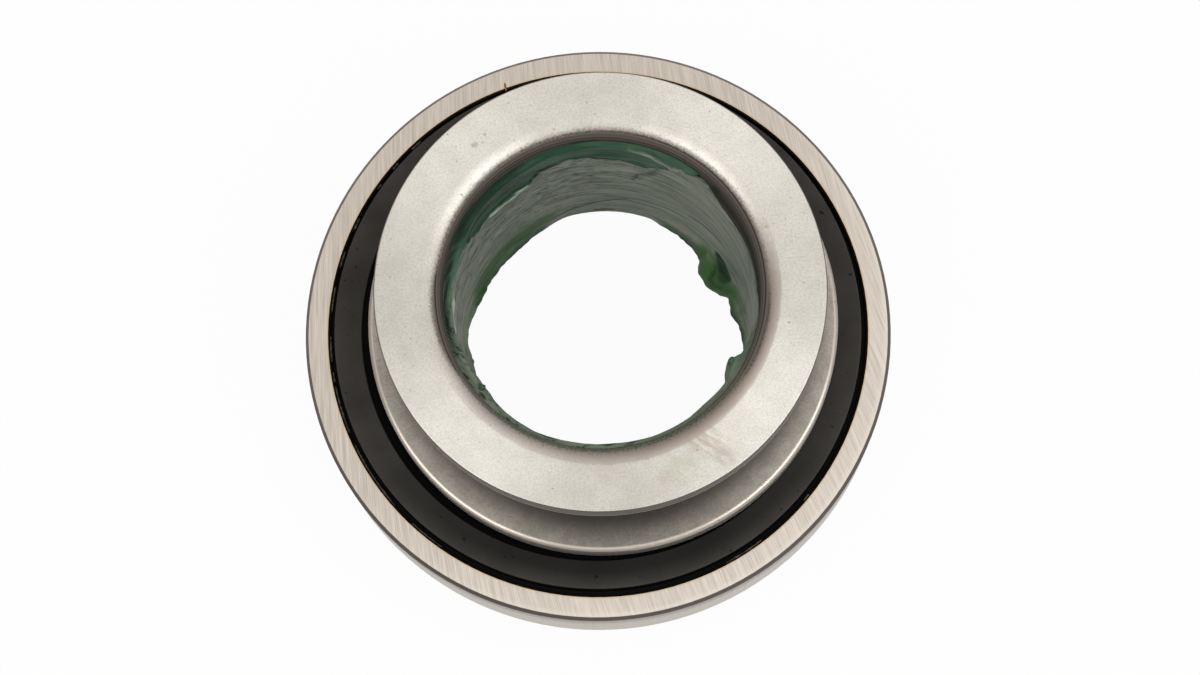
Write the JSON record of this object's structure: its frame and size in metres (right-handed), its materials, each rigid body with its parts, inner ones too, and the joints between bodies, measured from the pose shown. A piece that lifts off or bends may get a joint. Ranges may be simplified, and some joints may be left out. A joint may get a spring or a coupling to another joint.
{
  "type": "clutch release bearing",
  "caption": "Clutch release bearing: a flanged sleeve with a fork groove carries a sealed, self-centring ball bearing whose outer ring turns and presses on the clutch fingers.",
  "frame": {"origin": "on the axis of the rings, in the plane of the contact face on which the bearing lies", "axes": "+Z along the bearing's axis from the contact face to the sleeve's rear flange; +X the way the sleeve stands off centre"},
  "size_m": [0.068, 0.068, 0.0331],
  "materials": {
    "sleeve_steel": "satin, finely pitted",
    "ground_steel": "ground, with fine straight grinding lines",
    "ring_steel": "polished",
    "spring_steel": "dark, oiled",
    "cage_plastic": "natural polyamide",
    "seal_rubber": "matte black",
    "grease": "soft green grease"
  },
  "bodies": {
    "sleeve": {"sleeve": "sleeve_steel", "snap_ring": "spring_steel", "bore_grease": "grease"},
    "disc_spring": {"disc_spring": "spring_steel"},
    "inner_ring": {"inner_ring": "ring_steel"},
    "outer_ring": {"outer_ring": "ground_steel", "rear_seal": "seal_rubber", "front_seal": "seal_rubber"},
    "cage": {"cage": "cage_plastic"},
    "ball_01": {"ball_01": "ring_steel"},
    "ball_02": {"ball_02": "ring_steel"},
    "ball_03": {"ball_03": "ring_steel"},
    "ball_04": {"ball_04": "ring_steel"},
    "ball_05": {"ball_05": "ring_steel"},
    "ball_06": {"ball_06": "ring_steel"},
    "ball_07": {"ball_07": "ring_steel"},
    "ball_08": {"ball_08": "ring_steel"},
    "ball_09": {"ball_09": "ring_steel"},
    "ball_10": {"ball_10": "ring_steel"},
    "ball_11": {"ball_11": "ring_steel"},
    "ball_12": {"ball_12": "ring_steel"},
    "ball_13": {"ball_13": "ring_steel"},
    "ball_14": {"ball_14": "ring_steel"}
  },
  "joints": [
    {"name": "float_x", "type": "slide", "parent": "sleeve", "child": "disc_spring", "axis": [1, 0, 0], "range_m": [0, 0.0014]},
    {"name": "float_y", "type": "slide", "parent": "disc_spring", "child": "inner_ring", "axis": [0, 1, 0], "range_m": [-0.0007, 0.0007]},
    {"name": "ring_spin", "type": "hinge", "parent": "inner_ring", "child": "outer_ring", "pos_m": [0, 0, 0.00749], "axis": [0, 0, 1], "continuous": true},
    {"name": "cage_spin", "type": "hinge", "parent": "inner_ring", "child": "cage", "pos_m": [0, 0, 0.00749], "axis": [0, 0, 1], "continuous": true},
    {"name": "ball_spin_01", "type": "hinge", "parent": "cage", "child": "ball_01", "pos_m": [0.02653, 0, 0.00749], "axis": [0.6428, 0, 0.766], "continuous": true},
    {"name": "ball_spin_02", "type": "hinge", "parent": "cage", "child": "ball_02", "pos_m": [0.0239, 0.01151, 0.00749], "axis": [0.5791, 0.2789, 0.766], "continuous": true},
    {"name": "ball_spin_03", "type": "hinge", "parent": "cage", "child": "ball_03", "pos_m": [0.01654, 0.02074, 0.00749], "axis": [0.4008, 0.5026, 0.766], "continuous": true},
    {"name": "ball_spin_04", "type": "hinge", "parent": "cage", "child": "ball_04", "pos_m": [0.0059, 0.02586, 0.00749], "axis": [0.143, 0.6267, 0.766], "continuous": true},
    {"name": "ball_spin_05", "type": "hinge", "parent": "cage", "child": "ball_05", "pos_m": [-0.0059, 0.02586, 0.00749], "axis": [-0.143, 0.6267, 0.766], "continuous": true},
    {"name": "ball_spin_06", "type": "hinge", "parent": "cage", "child": "ball_06", "pos_m": [-0.01654, 0.02074, 0.00749], "axis": [-0.4008, 0.5026, 0.766], "continuous": true},
    {"name": "ball_spin_07", "type": "hinge", "parent": "cage", "child": "ball_07", "pos_m": [-0.0239, 0.01151, 0.00749], "axis": [-0.5791, 0.2789, 0.766], "continuous": true},
    {"name": "ball_spin_08", "type": "hinge", "parent": "cage", "child": "ball_08", "pos_m": [-0.02653, 0, 0.00749], "axis": [-0.6428, 0, 0.766], "continuous": true},
    {"name": "ball_spin_09", "type": "hinge", "parent": "cage", "child": "ball_09", "pos_m": [-0.0239, -0.01151, 0.00749], "axis": [-0.5791, -0.2789, 0.766], "continuous": true},
    {"name": "ball_spin_10", "type": "hinge", "parent": "cage", "child": "ball_10", "pos_m": [-0.01654, -0.02074, 0.00749], "axis": [-0.4008, -0.5026, 0.766], "continuous": true},
    {"name": "ball_spin_11", "type": "hinge", "parent": "cage", "child": "ball_11", "pos_m": [-0.0059, -0.02586, 0.00749], "axis": [-0.143, -0.6267, 0.766], "continuous": true},
    {"name": "ball_spin_12", "type": "hinge", "parent": "cage", "child": "ball_12", "pos_m": [0.0059, -0.02586, 0.00749], "axis": [0.143, -0.6267, 0.766], "continuous": true},
    {"name": "ball_spin_13", "type": "hinge", "parent": "cage", "child": "ball_13", "pos_m": [0.01654, -0.02074, 0.00749], "axis": [0.4008, -0.5026, 0.766], "continuous": true},
    {"name": "ball_spin_14", "type": "hinge", "parent": "cage", "child": "ball_14", "pos_m": [0.0239, -0.01151, 0.00749], "axis": [0.5791, -0.2789, 0.766], "continuous": true}
  ],
  "couplings": [
    {"joint": "cage_spin", "follows": "ring_spin", "ratio": 0.5573},
    {"joint": "ball_spin_01", "follows": "ring_spin", "ratio": 3.2981},
    {"joint": "ball_spin_02", "follows": "ring_spin", "ratio": 3.2981},
    {"joint": "ball_spin_03", "follows": "ring_spin", "ratio": 3.2981},
    {"joint": "ball_spin_04", "follows": "ring_spin", "ratio": 3.2981},
    {"joint": "ball_spin_05", "follows": "ring_spin", "ratio": 3.2981},
    {"joint": "ball_spin_06", "follows": "ring_spin", "ratio": 3.2981},
    {"joint": "ball_spin_07", "follows": "ring_spin", "ratio": 3.2981},
    {"joint": "ball_spin_08", "follows": "ring_spin", "ratio": 3.2981},
    {"joint": "ball_spin_09", "follows": "ring_spin", "ratio": 3.2981},
    {"joint": "ball_spin_10", "follows": "ring_spin", "ratio": 3.2981},
    {"joint": "ball_spin_11", "follows": "ring_spin", "ratio": 3.2981},
    {"joint": "ball_spin_12", "follows": "ring_spin", "ratio": 3.2981},
    {"joint": "ball_spin_13", "follows": "ring_spin", "ratio": 3.2981},
    {"joint": "ball_spin_14", "follows": "ring_spin", "ratio": 3.2981}
  ]
}
